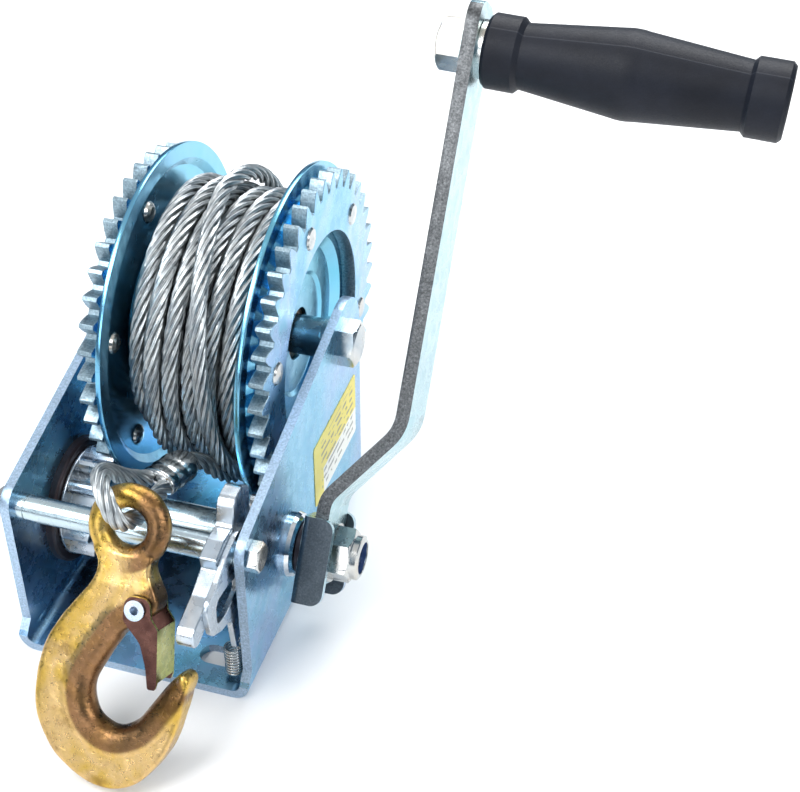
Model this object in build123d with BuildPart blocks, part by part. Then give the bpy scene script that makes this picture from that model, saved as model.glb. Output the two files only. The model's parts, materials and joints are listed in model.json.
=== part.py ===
from build123d import *
import os
from math import acos, atan2, cos, degrees, hypot, pi, radians, sin, tan

# Boat trailer winch. Millimetres, +Z up, +X towards the crank, -Y towards the boat.
# The origin is the centre of the base's underside.

# ---- Frame ----
frame_length = 128.0
base_lip = 4.5
half_width = 45.5
sheet = 3.5
bend_radius = 7.0
nose_height = 69.9
rear_height = 100.6
nose_radius = 8.0
boss_radius = 16.0
inner_face = half_width - sheet
slot_length, slot_width = 15.0, 9.0
slot_spacing_x, slot_spacing_y = 57.0, 100.0
slot_centre_y = -4.0

# ---- Gears and shafts ----
module = 3.0
drum_teeth, pinion_teeth = 41, 12
pressure_angle = radians(25)
backlash = 0.22
drum_y, drum_z = 44.0, 81.5
centre_distance = module * (drum_teeth + pinion_teeth) / 2
drive_slope = radians(36.8)
drive_y = drum_y - centre_distance * cos(drive_slope)
drive_z = drum_z - centre_distance * sin(drive_slope)
pawl_y, pawl_z = -57.0, 62.0
gear_phase = 204.9
fit = 0.08

# ---- Drum ----
drum_x = 1.8
disc_sheet = 2.0
rim_radius = 66.4
hub_radius = 20.0
hub_half = 23.6
gear_inner, gear_outer = 29.6, 35.3
gear_hole = 41.5
rivet_circle = 50.4
rivet_radius = 3.0
winding_radius = 54.0
winding_half = 23.3

# ---- Axle ----
axle_radius = 5.0
sleeve_radius = 6.5
spacer_radius = 7.65
collar_radius = 8.7
rod_radius = 4.75
rod_bolt_radius = 3.0

# ---- Drive shaft and crank ----
shaft_radius = 6.8
crank_lean = radians(54)
crank_radius = 187.7
arm_end = 203.5
arm_width, arm_sheet = 25.6, 5.0
arm_low_x, arm_high_x = 58.8, 81.5
bracket_width, bracket_sheet = 32.8, 3.0
bracket_x0, bracket_x1 = 52.8, 64.5
grip_bolt_radius = 5.0
grip_x0, grip_x1 = 86.3, 192.3
grip_droop = 2.45

# ---- Rope and hook ----
rope_diameter = 6.35
eye_x, eye_y, eye_z = 10.2, -73.3, 80.6
hook_lean = radians(30.5)
eye_ring, eye_bar = 10.4, 4.3
hook_thickness = 11.0
latch_x, latch_y = 8.4, -25.2

pieces = {}


def turned(outline, y, z):
    """A solid of revolution about the line parallel to X through (y, z), from (x, radius) points."""
    with BuildPart() as piece:
        with BuildSketch(Plane(origin=(0, y, z), x_dir=(1, 0, 0), z_dir=(0, -1, 0))):
            with BuildLine():
                Polyline(*outline, close=True)
            make_face()
        revolve(axis=Axis((0, y, z), (1, 0, 0)))
    return piece


def ring(x0, x1, outer, bore, y, z):
    """A plain washer or tube from x0 to x1."""
    return turned([(x0, bore), (x0, outer), (x1, outer), (x1, bore)], y, z)


def hexagon(x0, x1, across_flats, y, z, bore=0.0, collar=0.0):
    """A hexagon between x0 and its outer face x1, chamfered there; a nut has a bore."""
    step = 1 if x1 > x0 else -1
    corner = across_flats / 3 ** 0.5
    face = across_flats * 0.46
    outline = [(x0, bore), (x0, corner), (x1 - step * 0.12 * corner, corner), (x1, face), (x1, bore)]
    if collar:
        shoulder = x1 + step * collar
        outline = outline[:-1] + [(shoulder - step * 0.8, face), (shoulder, face - 1.4), (shoulder, bore)]
    with BuildPart() as piece:
        with BuildSketch(Plane.YZ.offset(min(x0, x1) - abs(collar))):
            with Locations((y, z)):
                RegularPolygon(across_flats / 2, 6, major_radius=False)
        extrude(amount=abs(x1 - x0) + 2 * abs(collar))
        add(turned(outline, y, z).part, mode=Mode.INTERSECT)
    return piece


def bolt(x_seat, x_head, x_end, across_flats, radius, y, z):
    """A hexagon-headed bolt whose head sits on x_seat and whose shank ends at x_end."""
    step = 1 if x_end > x_seat else -1
    tip = x_end - step * 0.15 * radius
    shank = [(x_seat, 0), (x_seat, radius), (tip, radius), (x_end, 0.8 * radius), (x_end, 0)]
    with BuildPart() as piece:
        add(hexagon(x_seat, x_head, across_flats, y, z).part)
        add(turned(shank, y, z).part)
    return piece


def involute(angle):
    return tan(angle) - angle


def tooth_outline(teeth, first_tooth):
    """Points of a spur gear's outline, with a tooth centred on first_tooth degrees."""
    pitch = module * teeth / 2
    base = pitch * cos(pressure_angle)
    root, tip = pitch - 1.25 * module, pitch + module
    low = max(base, root)
    half_pitch = pi / (2 * teeth) - backlash / (2 * pitch)
    flank = []
    for step in range(5):
        radius = low + (tip - low) * step / 4
        spread = half_pitch + involute(pressure_angle) - involute(acos(base / radius))
        flank.append((radius, spread))
    if root < base:
        flank.insert(0, (root, flank[0][1]))
    points = []
    for tooth in range(teeth):
        centre = radians(first_tooth) + 2 * pi * tooth / teeth
        rising = [(r, centre - a) for r, a in flank]
        falling = [(r, centre + a) for r, a in reversed(flank)]
        points += [(r * cos(a), r * sin(a)) for r, a in rising + falling]
    return points


def gear(x0, x1, teeth, first_tooth, bore, y, z):
    with BuildPart() as piece:
        with BuildSketch(Plane(origin=(x0, y, z), x_dir=(0, 1, 0), z_dir=(1, 0, 0))):
            with BuildLine():
                Polyline(*tooth_outline(teeth, first_tooth), close=True)
            make_face()
            Circle(bore, mode=Mode.SUBTRACT)
        extrude(amount=x1 - x0)
    return piece


def circle_of(count, radius, y, z, start=0.0):
    angles = [radians(start + 360 * k / count) for k in range(count)]
    return [(y + radius * cos(angle), z + radius * sin(angle)) for angle in angles]


# ---- Folded frame ----
def folded_frame():
    with BuildPart() as piece:
        with BuildSketch(Plane.YZ.offset(-half_width)) as side:
            with BuildLine():
                Polyline(
                    (-frame_length / 2 - base_lip, 0),
                    (frame_length / 2, 0),
                    (frame_length / 2, rear_height),
                    (-frame_length / 2, nose_height),
                    (-frame_length / 2, 11.5),
                    (-frame_length / 2 - base_lip, 6.5),
                    close=True,
                )
            make_face()
            fillet(side.vertices().sort_by(Axis.Y)[-2], radius=nose_radius)
            fillet(side.vertices().sort_by(Axis.Y)[-1], radius=boss_radius)
        extrude(amount=2 * half_width)
        with BuildSketch(Plane.XZ.offset(frame_length / 2 + base_lip + 1)) as channel:
            with Locations((0, sheet + rear_height / 2)):
                Rectangle(2 * inner_face, rear_height)
            fillet(channel.vertices().group_by(Axis.Y)[0], radius=bend_radius - sheet)
        extrude(amount=-frame_length - base_lip - 2, mode=Mode.SUBTRACT)
        fillet(piece.edges().filter_by(Axis.Y).group_by(Axis.Z)[0], radius=bend_radius)
        with BuildSketch(Plane.XY):
            with Locations((0, slot_centre_y)):
                with GridLocations(slot_spacing_x, slot_spacing_y, 2, 2):
                    SlotOverall(slot_length, slot_width)
            with Locations((37.5, -59.2)):
                Circle(1.5)
        extrude(amount=sheet, mode=Mode.SUBTRACT)
        with BuildSketch(Plane.YZ.offset(-half_width - 1)):
            with Locations((drum_y, drum_z)):
                Circle(axle_radius)
            with Locations((pawl_y, pawl_z)):
                Circle(rod_bolt_radius)
            with Locations((drive_y, drive_z)):
                Circle(shaft_radius + 3)
        extrude(amount=2 * half_width + 2, mode=Mode.SUBTRACT)
    return piece


pieces["frame"] = folded_frame()

with BuildPart() as label:
    with BuildSketch(Plane.YZ.offset(half_width)):
        with Locations((32, 42.5)):
            RectangleRounded(50, 29, 1.5)
    extrude(amount=0.2)
pieces["label"] = label

# ---- Drum axle, clamped between the side plates ----
pieces["axle_bolt"] = bolt(half_width, half_width + 6.6, -57.5, 16, axle_radius, drum_y, drum_z)
pieces["axle_nut"] = hexagon(-half_width, -half_width - 7.5, 16, drum_y, drum_z, axle_radius, 2.5)
pieces["axle_sleeve"] = ring(-inner_face, inner_face, sleeve_radius, axle_radius, drum_y, drum_z)
hub_gap = hub_half + 0.3
for side, x_end, x_wall in (("right", drum_x + hub_gap, inner_face), ("left", drum_x - hub_gap, -inner_face)):
    step = 1 if x_wall > 0 else -1
    pieces[f"axle_spacer_{side}"] = turned(
        [
            (x_end, sleeve_radius),
            (x_end, spacer_radius),
            (x_wall - step * 4.2, spacer_radius),
            (x_wall - step * 3.6, collar_radius),
            (x_wall, collar_radius),
            (x_wall, sleeve_radius),
        ],
        drum_y,
        drum_z,
    )

# ---- Pawl rod across the front ----
pieces["pawl_rod"] = turned(
    [
        (-inner_face, rod_bolt_radius),
        (-inner_face, rod_radius),
        (-38.6, rod_radius),
        (-38.6, rod_radius - 0.35),
        (-38.0, rod_radius - 0.35),
        (-38.0, rod_radius),
        (inner_face, rod_radius),
        (inner_face, rod_bolt_radius),
    ],
    pawl_y,
    pawl_z,
)
pieces["pawl_rod_bolt"] = bolt(half_width, half_width + 4.2, -50.2, 10, rod_bolt_radius, pawl_y, pawl_z)
with BuildPart() as cap_nut:
    add(hexagon(-half_width, -half_width - 4.0, 10, pawl_y, pawl_z).part)
    add(
        turned(
            [
                (-half_width - 3.5, 0),
                (-half_width - 3.5, 4.6),
                (-half_width - 5.6, 4.2),
                (-half_width - 7.4, 2.6),
                (-half_width - 8.0, 0),
            ],
            pawl_y,
            pawl_z,
        ).part
    )
    add(
        ring(-half_width + 1, -50.2, rod_bolt_radius, 0, pawl_y, pawl_z).part,
        mode=Mode.SUBTRACT,
    )
pieces["pawl_rod_nut"] = cap_nut

# ---- Drive shaft bushings ----
bush_bore = shaft_radius + fit
bush_spigot = shaft_radius + 3
pieces["drive_bushing_right"] = turned(
    [
        (inner_face, bush_bore),
        (inner_face, bush_spigot),
        (half_width, bush_spigot),
        (half_width, 12.5),
        (half_width + 1.4, 12.5),
        (half_width + 2.9, 11.9),
        (half_width + 3.9, 10.9),
        (half_width + 4.3, 9.8),
        (half_width + 4.3, bush_bore),
    ],
    drive_y,
    drive_z,
)
pieces["drive_bushing_left"] = turned(
    [
        (-inner_face, bush_bore),
        (-inner_face, bush_spigot),
        (-half_width, bush_spigot),
        (-half_width, 12.5),
        (-half_width - 2, 12.5),
        (-half_width - 2, bush_bore),
    ],
    drive_y,
    drive_z,
)
pieces["thrust_disc"] = turned(
    [
        (-inner_face, bush_bore),
        (-inner_face, 24.4),
        (-inner_face + 2.4, 24.4),
        (-inner_face + 3.2, 23.6),
        (-inner_face + 3.2, bush_bore),
    ],
    drive_y,
    drive_z,
)

# ---- Drum: hub, bushings, dished flanges, gears, rivets ----
pieces["drum_hub"] = ring(drum_x - hub_half, drum_x + hub_half, hub_radius, hub_radius - 3, drum_y, drum_z)
with BuildPart() as hub_bushings:
    for inner, outer in ((-hub_half, -hub_half + 9), (hub_half - 9, hub_half)):
        add(ring(drum_x + inner, drum_x + outer, hub_radius - 3, sleeve_radius + fit, drum_y, drum_z).part)
pieces["hub_bushings"] = hub_bushings

rivet_points = circle_of(6, rivet_circle, drum_y, drum_z, 40)
flange_profile = [
    (hub_half, 10.2),
    (hub_half, 23.0),
    (hub_half + 1.0, 24.6),
    (hub_half + 1.0, 34.5),
    (gear_inner - disc_sheet, 38.5),
    (gear_inner - disc_sheet, 57.2),
    (25.3, 60.2),
    (25.3, rim_radius),
]
for side, step in (("left", -1), ("right", 1)):
    inner_line = [(drum_x + step * x, r) for x, r in flange_profile]
    outer_line = [(drum_x + step * (x + disc_sheet), r) for x, r in flange_profile]
    with BuildPart() as flange:
        add(turned(inner_line + outer_line[::-1], drum_y, drum_z).part)
        with BuildSketch(Plane.YZ.offset(drum_x + step * gear_inner)):
            with Locations(*rivet_points):
                Circle(rivet_radius)
        extrude(amount=-step * 2 * disc_sheet, mode=Mode.SUBTRACT)
    pieces[f"drum_flange_{side}"] = flange

    low = min(step * gear_inner, step * gear_outer)
    with BuildPart() as drum_gear:
        add(
            gear(
                drum_x + low,
                drum_x + low + gear_outer - gear_inner,
                drum_teeth,
                gear_phase,
                gear_hole,
                drum_y,
                drum_z,
            ).part
        )
        with BuildSketch(Plane.YZ.offset(drum_x + low)):
            with Locations(*rivet_points):
                Circle(rivet_radius)
        extrude(amount=gear_outer - gear_inner, mode=Mode.SUBTRACT)
    pieces[f"drum_gear_{side}"] = drum_gear

    with BuildPart() as rivets:
        for y, z in rivet_points:
            x_in, x_out = gear_inner - disc_sheet, gear_outer
            profile = [
                (x_in - 2.0, 0),
                (x_in - 1.7, 2.2),
                (x_in - 0.9, 3.6),
                (x_in, 4.2),
                (x_in, rivet_radius),
                (x_out, rivet_radius),
                (x_out, 4.4),
                (x_out + 0.7, 3.8),
                (x_out + 1.1, 0),
            ]
            add(turned([(drum_x + step * x, r) for x, r in profile], y, z).part)
    pieces[f"rivets_{side}"] = rivets

pieces["rope_winding"] = ring(
    drum_x - winding_half, drum_x + winding_half, winding_radius, hub_radius, drum_y, drum_z
)

# A saddle on the left flange holds the rope's inner end.
with BuildPart() as rope_anchor:
    with BuildSketch(Plane.YZ.offset(drum_x - hub_half - 1.0 - disc_sheet)):
        with Locations((drum_y, drum_z + 28.3)):
            RectangleRounded(18, 9, 2)
    extrude(amount=-3.5)
    with BuildSketch(Plane.YZ.offset(drum_x - hub_half - 1.0 - disc_sheet - 3.5)):
        with Locations((drum_y - 5.5, drum_z + 28.3), (drum_y + 5.5, drum_z + 28.3)):
            Circle(3.2)
    extrude(amount=-1.6)
pieces["rope_anchor"] = rope_anchor

# ---- Drive shaft and pinions ----
mesh_angle = degrees(atan2(drum_z - drive_z, drum_y - drive_y))
tooth_pitch = 360 / drum_teeth
offset_from_line = (gear_phase - (mesh_angle + 180) + tooth_pitch / 2) % tooth_pitch - tooth_pitch / 2
pinion_gap = mesh_angle - offset_from_line * drum_teeth / pinion_teeth
pinion_phase = pinion_gap + 180 / pinion_teeth
washer_seat = arm_low_x + arm_sheet / 2
pieces["drive_shaft"] = turned(
    [
        (-50.5, 0),
        (-50.5, shaft_radius - 0.8),
        (-49.8, shaft_radius),
        (-48.9, shaft_radius),
        (-48.9, shaft_radius - 0.7),
        (-47.7, shaft_radius - 0.7),
        (-47.7, shaft_radius),
        (bracket_x0 + bracket_sheet, shaft_radius),
        (bracket_x0 + bracket_sheet, 6.0),
        (70.4, 6.0),
        (71.2, 5.2),
        (71.2, 0),
    ],
    drive_y,
    drive_z,
)
pieces["shaft_clip"] = ring(-48.9, -47.7, 10.0, shaft_radius - 0.7, drive_y, drive_z)
with BuildPart() as pinion_left:
    add(gear(-37.3, -27.2, pinion_teeth, pinion_phase, shaft_radius, drive_y, drive_z).part)
    add(ring(-38.5, -37.3, 21.2, shaft_radius, drive_y, drive_z).part)
pieces["pinion_left"] = pinion_left
with BuildPart() as pinion_right:
    add(gear(30.9, 38.2, pinion_teeth, pinion_phase, shaft_radius, drive_y, drive_z).part)
    add(ring(38.2, 41.6, 10.0, shaft_radius, drive_y, drive_z).part)
pieces["pinion_right"] = pinion_right

# ---- Crank ----
crank_x_dir = (0, sin(crank_lean), -cos(crank_lean))
across_arm = (0, -sin(crank_lean), cos(crank_lean))
arm_plane = Plane(origin=(0, drive_y, drive_z), x_dir=(1, 0, 0), z_dir=across_arm)
web_low, web_high = -18.2, 13.4

pieces["crank_spacer"] = ring(half_width + 4.4, bracket_x0, 10.2, shaft_radius, drive_y, drive_z)
with BuildPart() as crank_bracket:
    with BuildSketch(arm_plane) as bracket_side:
        with Locations(((bracket_x0 + bracket_x1) / 2, (web_low + web_high) / 2)):
            Rectangle(bracket_x1 - bracket_x0, web_high - web_low)
        fillet(bracket_side.vertices().group_by(Axis.X)[-1], radius=4.5)
    extrude(amount=bracket_width / 2, both=True)
    web_edges = crank_bracket.edges().filter_by(lambda e: abs(e.center().X - bracket_x0) < 0.01)
    fillet(web_edges.filter_by(lambda e: 31.5 < e.length < 31.7), radius=2.5)
    channel_plane = Plane(
        origin=(bracket_x0 + bracket_sheet, drive_y, drive_z), x_dir=crank_x_dir, z_dir=(1, 0, 0)
    )
    with BuildSketch(channel_plane):
        with Locations((0, (web_low + web_high) / 2)):
            Rectangle(bracket_width - 2 * bracket_sheet, web_high - web_low + 2)
    extrude(amount=bracket_x1 - bracket_x0, mode=Mode.SUBTRACT)
    shaft_hole = ring(bracket_x0 - 1, bracket_x0 + bracket_sheet + 1, shaft_radius, 0, drive_y, drive_z)
    add(shaft_hole.part, mode=Mode.SUBTRACT)
pieces["crank_bracket"] = crank_bracket

grip_y = drive_y + crank_radius * cos(crank_lean)
grip_z = drive_z + crank_radius * sin(crank_lean)
grip_hinge = Axis((arm_high_x, grip_y, grip_z), across_arm)
arm_inner, arm_outer = arm_high_x - arm_sheet / 2, arm_high_x + arm_sheet / 2


def drooped(piece):
    """Turns a grip piece down a little about the arm's hole."""
    return piece.part.rotate(grip_hinge, -grip_droop)


with BuildPart() as grip_bolt:
    add(bolt(arm_inner - 0.9, arm_inner - 10.4, 182.3, 17, grip_bolt_radius, grip_y, grip_z).part)
    add(ring(arm_inner - 0.9, arm_inner, 8.2, 0, grip_y, grip_z).part)
grip_bolt_shape = drooped(grip_bolt)
grip_washer_shape = drooped(ring(arm_outer, arm_outer + 1.9, 10.5, grip_bolt_radius, grip_y, grip_z))
with BuildPart() as crank_arm:
    with BuildSketch(arm_plane):
        with BuildLine():
            FilletPolyline(
                (arm_low_x, -12),
                (arm_low_x, 20.5),
                (arm_high_x, 49.5),
                (arm_high_x, arm_end),
                radius=[11, 16],
            )
        trace(line_width=arm_sheet)
    extrude(amount=arm_width / 2, both=True)
    ends = crank_arm.edges().filter_by(Axis.X).filter_by(lambda e: abs(e.length - arm_sheet) < 0.01)
    fillet(ends, radius=9)
    add(ring(washer_seat - 6, washer_seat + 1, 6.0, 0, drive_y, drive_z).part, mode=Mode.SUBTRACT)
    add(grip_bolt_shape, mode=Mode.SUBTRACT)
    add(grip_washer_shape, mode=Mode.SUBTRACT)
pieces["crank_arm"] = crank_arm

pieces["crank_washer"] = ring(washer_seat, washer_seat + 1.4, 11.0, 6.0, drive_y, drive_z)
with BuildPart() as crank_nut:
    add(hexagon(washer_seat + 1.4, washer_seat + 9.0, 18, drive_y, drive_z, 6.0, 2.9).part)
    add(ring(washer_seat + 8.6, washer_seat + 11.4, 7.0, 0, drive_y, drive_z).part, mode=Mode.SUBTRACT)
pieces["crank_nut"] = crank_nut
pieces["crank_nut_insert"] = ring(washer_seat + 8.6, washer_seat + 11.4, 7.0, 6.0, drive_y, drive_z)

# ---- Grip ----
pocket_x, cap_x = 172.4, 189.2
with BuildPart() as grip:
    with BuildSketch(Plane(origin=(0, grip_y, grip_z), x_dir=(1, 0, 0), z_dir=(0, -1, 0))):
        with BuildLine():
            Polyline(
                (grip_x0 + 47, 15.6),
                (grip_x0 + 13.2, 11.7),
                (grip_x0 + 11.4, 13.4),
                (grip_x0 + 1.3, 13.4),
                (grip_x0, 12.2),
                (grip_x0, grip_bolt_radius + fit),
                (pocket_x, grip_bolt_radius + fit),
                (pocket_x, 10.2),
                (grip_x1, 10.2),
                (grip_x1, 12.5),
                (grip_x1 - 1.4, 13.9),
                (grip_x0 + 93.4, 13.9),
                (grip_x0 + 91.8, 12.3),
                (grip_x0 + 55, 15.6),
            )
            ThreePointArc((grip_x0 + 47, 15.6), (grip_x0 + 51, 15.95), (grip_x0 + 55, 15.6))
        make_face()
    revolve(axis=Axis((0, grip_y, grip_z), (1, 0, 0)))
pieces["grip_bolt"] = grip_bolt_shape
pieces["grip_washer"] = grip_washer_shape
pieces["grip_nut"] = drooped(hexagon(172.8, 180.8, 16, grip_y, grip_z, grip_bolt_radius))
pieces["grip"] = drooped(grip)
pieces["grip_cap"] = drooped(ring(cap_x, grip_x1 - 0.6, 10.2, 0, grip_y, grip_z))

# ---- Pawl, its sprung lever and the spring ----
pawl_x0, pawl_x1 = 32.2, 38.5
lever_x1 = 40.5


def at_pawl(points):
    return [(pawl_y + y, pawl_z + z) for y, z in points]


pawl_corners = [
    ((28.6, -5.0), 0.6),
    ((17.0, 1.5), 3.0),
    ((18.6, 14.4), 2.5),
    ((13.0, 18.8), 3.5),
    ((4.6, 18.6), 4.5),
    ((2.2, 9.0), 2.0),
    ((-5.5, 9.6), 2.0),
    ((-13.2, 7.4), 0.8),
    ((-12.4, 2.4), 0.8),
    ((-22.0, -1.8), 6.0),
    ((-35.5, -4.9), 4.0),
    ((-37.5, -14.5), 4.0),
    ((-19.5, -9.6), 6.0),
    ((-6.0, -9.4), 5.0),
    ((9.0, -13.5), 5.0),
    ((20.0, -12.6), 5.0),
    ((29.4, -7.6), 0.6),
]
with BuildPart() as pawl:
    with BuildSketch(Plane.YZ.offset(pawl_x0)):
        with BuildLine():
            FilletPolyline(
                *at_pawl([p for p, r in pawl_corners]), radius=[r for p, r in pawl_corners], close=True
            )
        make_face()
        with Locations((pawl_y, pawl_z)):
            Circle(rod_radius + fit, mode=Mode.SUBTRACT)
    extrude(amount=pawl_x1 - pawl_x0)
    chamfer(pawl.faces().filter_by(Axis.X).edges().filter_by(lambda e: e.length > 3), length=0.35)
pieces["pawl"] = pawl

lever_corners = [
    ((11.0, 5.5), 4.0),
    ((1.0, 8.2), 6.0),
    ((-9.5, 6.2), 5.0),
    ((-18.5, 2.0), 8.0),
    ((-28.5, -0.5), 5.0),
    ((-26.0, -15.5), 6.0),
    ((-17.0, -20.6), 3.0),
    ((-10.0, -22.5), 5.0),
    ((-7.4, -40.2), 1.6),
    ((-3.0, -40.2), 1.6),
    ((0.5, -24.0), 8.0),
    ((9.0, -13.0), 6.0),
]
with BuildPart() as pawl_lever:
    with BuildSketch(Plane.YZ.offset(pawl_x1)):
        with BuildLine():
            FilletPolyline(
                *at_pawl([p for p, r in lever_corners]), radius=[r for p, r in lever_corners], close=True
            )
        make_face()
        with Locations((pawl_y, pawl_z)):
            Circle(rod_radius + fit, mode=Mode.SUBTRACT)
        with BuildLine():
            FilletPolyline(
                *at_pawl(
                    [(-20.5, -4.6), (-21.0, -14.8), (-13.0, -16.4), (-2.6, -14.6), (-2.2, -9.2), (-9.5, -6.2)]
                ),
                radius=[3.0, 3.4, 3.0, 2.0, 2.0, 3.0],
                close=True,
            )
        make_face(mode=Mode.SUBTRACT)
        with Locations((pawl_y - 5.2, pawl_z - 37.8)):
            Circle(1.0, mode=Mode.SUBTRACT)
    extrude(amount=lever_x1 - pawl_x1)
pieces["pawl_lever"] = pawl_lever

spring_x, spring_y = 37.4, -60.6
spring_low, spring_high = 5.6, 18.4
with BuildPart() as pawl_spring:
    with BuildSketch(Plane.XY.offset(spring_low)):
        with Locations((spring_x, spring_y)):
            Circle(3.6)
            Circle(2.7, mode=Mode.SUBTRACT)
    extrude(amount=spring_high - spring_low)
pieces["pawl_spring"] = pawl_spring

# ---- Rope: tail, crimped ferrule and the loop round the hook's eye ----
ferrule_rear, ferrule_front = Vector(7.4, -21.0, 65.6), Vector(3.0, -38.0, 68.2)


def tube(route, radii):
    """A round tube along straight runs joined by arcs; prints its arcs and its volume ratio."""
    with BuildLine() as path:
        FilletPolyline(*route, radius=radii)
    wire = path.wires()[0]
    with BuildPart() as piece:
        with BuildSketch(Plane(origin=wire @ 0, z_dir=wire % 0)):
            Circle(rope_diameter / 2)
        sweep(path=wire)
    ratio = piece.part.volume / (pi * rope_diameter ** 2 / 4 * wire.length)
    print("arcs", [round(r, 1) for r in radii], "length", round(wire.length, 1), "ratio", round(ratio, 4))
    return piece


def arcs(route):
    """Each arc is as large as its two runs allow."""
    points = [Vector(*p) for p in route]
    radii = []
    for before, here, after in zip(points, points[1:], points[2:]):
        turn = radians((here - before).get_angle(after - here))
        radii.append(0.45 * min((here - before).length, (after - here).length) / tan(turn / 2))
    return radii


tail_route = [
    (13.6, 20.0, 27.9),
    (12.5, 4.6, 38.2),
    (11.2, -5.6, 48.6),
    (9.2, -13.0, 60.0),
    (7.4, -21.0, 65.6),
]
pieces["rope_tail"] = tube(tail_route, arcs(tail_route))

loop_route = [
    (-0.5, -38.0, 69.2),
    (-3.2, -47.0, 76.0),
    (-4.0, -58.0, 88.5),
    (-0.8, -70.0, 98.2),
    (6.5, -80.5, 97.2),
    (10.4, -81.0, 87.6),
    (10.4, -66.5, 79.2),
    (8.6, -54.0, 74.8),
    (6.3, -38.0, 67.4),
]
pieces["rope_loop"] = tube(loop_route, arcs(loop_route))

ferrule_axis = ferrule_front - ferrule_rear
with BuildPart() as rope_ferrule:
    for share, wide, tall in ((0, 5.6, 4.6), (0.3, 7.6, 5.2), (1, 7.6, 5.0)):
        centre = ferrule_rear + ferrule_axis * share
        with BuildSketch(Plane(origin=centre, x_dir=(1, -0.26, 0), z_dir=ferrule_axis.normalized())):
            Ellipse(wide, tall)
    loft()
    add(pieces["rope_tail"].part, mode=Mode.SUBTRACT)
    add(pieces["rope_loop"].part, mode=Mode.SUBTRACT)
pieces["rope_ferrule"] = rope_ferrule

# ---- Hook, latch and latch rivet ----
hook_up = (0, sin(hook_lean), cos(hook_lean))
hook_front = (0, -cos(hook_lean), sin(hook_lean))
hook_plane = Plane(origin=(eye_x, eye_y, eye_z), x_dir=(1, 0, 0), z_dir=hook_front)
with BuildPart() as hook:
    with BuildSketch(hook_plane.offset(-hook_thickness / 2)):
        with BuildLine():
            Spline(
                (-11.2, -8.4),
                (-8.0, -14.4),
                (-11.2, -22.2),
                (-17.0, -30.9),
                (-22.5, -40.8),
                (-25.3, -52.0),
                (-25.4, -62.0),
                (-22.6, -72.4),
                (-16.0, -81.4),
                (-6.6, -87.6),
                (4.0, -89.8),
                (13.2, -87.0),
                (19.8, -80.2),
                (24.4, -71.6),
                (27.2, -61.0),
                (28.8, -50.6),
                (28.7, -45.6),
                (26.2, -44.3),
                (22.4, -47.4),
                (17.0, -55.8),
                (11.6, -64.2),
                (4.8, -68.0),
                (-1.2, -66.0),
                (-4.6, -60.4),
                (-4.8, -54.0),
                (-2.0, -47.0),
                (1.8, -39.5),
                (5.6, -33.4),
                (10.4, -29.8),
                (14.0, -26.4),
                (14.8, -22.0),
                (12.6, -17.6),
                (10.4, -13.4),
                (11.2, -8.4),
            )
            Line((11.2, -8.4), (-11.2, -8.4))
        make_face()
    extrude(amount=hook_thickness)
    fillet(hook.edges().filter_by(lambda edge: edge.length > 60), radius=1.6)
    with BuildSketch(Plane(origin=(eye_x, eye_y, eye_z), x_dir=hook_up, z_dir=(1, 0, 0))):
        with BuildLine():
            Polyline(
                (-100, -6),
                (-22, -6),
                (-16, -4.9),
                (-5, -eye_bar),
                (-5, eye_bar),
                (-16, 4.9),
                (-22, 6),
                (-100, 6),
                close=True,
            )
        make_face()
    extrude(amount=60, both=True, mode=Mode.INTERSECT)
    eye_section = (0, -sin(hook_lean), -cos(hook_lean))
    with BuildSketch(Plane(origin=(eye_x, eye_y, eye_z), x_dir=(1, 0, 0), z_dir=eye_section)):
        with Locations((eye_ring, 0)):
            Circle(eye_bar)
    revolve(axis=Axis((eye_x, eye_y, eye_z), hook_front))
    with BuildSketch(hook_plane.offset(-hook_thickness)):
        Circle(eye_ring - eye_bar + 0.1)
        with Locations((latch_x, latch_y)):
            Circle(2.3)
    extrude(amount=2 * hook_thickness, mode=Mode.SUBTRACT)
pieces["hook"] = hook

latch_half, latch_sheet = 7.6, 1.1
with BuildPart() as latch:
    with BuildSketch(hook_plane.offset(-latch_half)):
        with BuildLine():
            FilletPolyline(
                (4.2, -20.8),
                (12.8, -20.8),
                (14.2, -27.2),
                (17.0, -30.4),
                (19.0, -48.6),
                (18.6, -50.6),
                (16.0, -50.8),
                (14.4, -43.6),
                (11.4, -36.0),
                (4.4, -29.4),
                radius=[3.6, 3.0, 2.0, 1.2, 0.8, 0.6, 0.8, 6.0, 6.0, 3.2],
                close=True,
            )
        make_face()
        with Locations((latch_x, latch_y)):
            Circle(2.3 + fit, mode=Mode.SUBTRACT)
    extrude(amount=2 * latch_half)
    with BuildSketch(hook_plane.offset(-latch_half + latch_sheet)):
        with BuildLine():
            Polyline(
                (-2, -16),
                (17, -16),
                (17, -31.8),
                (15.8, -31.8),
                (17.8, -48.2),
                (20, -48.2),
                (20, -56),
                (-2, -56),
                close=True,
            )
        make_face()
    extrude(amount=2 * (latch_half - latch_sheet), mode=Mode.SUBTRACT)
pieces["latch"] = latch

with BuildPart() as latch_rivet:
    for start, height, radius in (
        (-latch_half - 1.0, 1.0, 3.5),
        (-latch_half, 2 * latch_half, 2.3),
        (latch_half, 1.0, 3.5),
    ):
        with BuildSketch(hook_plane.offset(start)):
            with Locations((latch_x, latch_y)):
                Circle(radius)
        extrude(amount=height)
    with BuildSketch(hook_plane.offset(latch_half - 3)):
        with Locations((latch_x, latch_y)):
            Circle(1.5)
    extrude(amount=5, mode=Mode.SUBTRACT)
pieces["latch_rivet"] = latch_rivet

# ---- Write every piece ----
os.makedirs("parts", exist_ok=True)
for name, piece in pieces.items():
    shape = piece.part if isinstance(piece, BuildPart) else piece
    shape.label = name
    export_step(shape, f"parts/{name}.step")
print(len(pieces), "nodes")
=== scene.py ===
import json
import math

import bmesh
import bpy
import numpy as np
from mathutils import Matrix, Vector, noise


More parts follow.
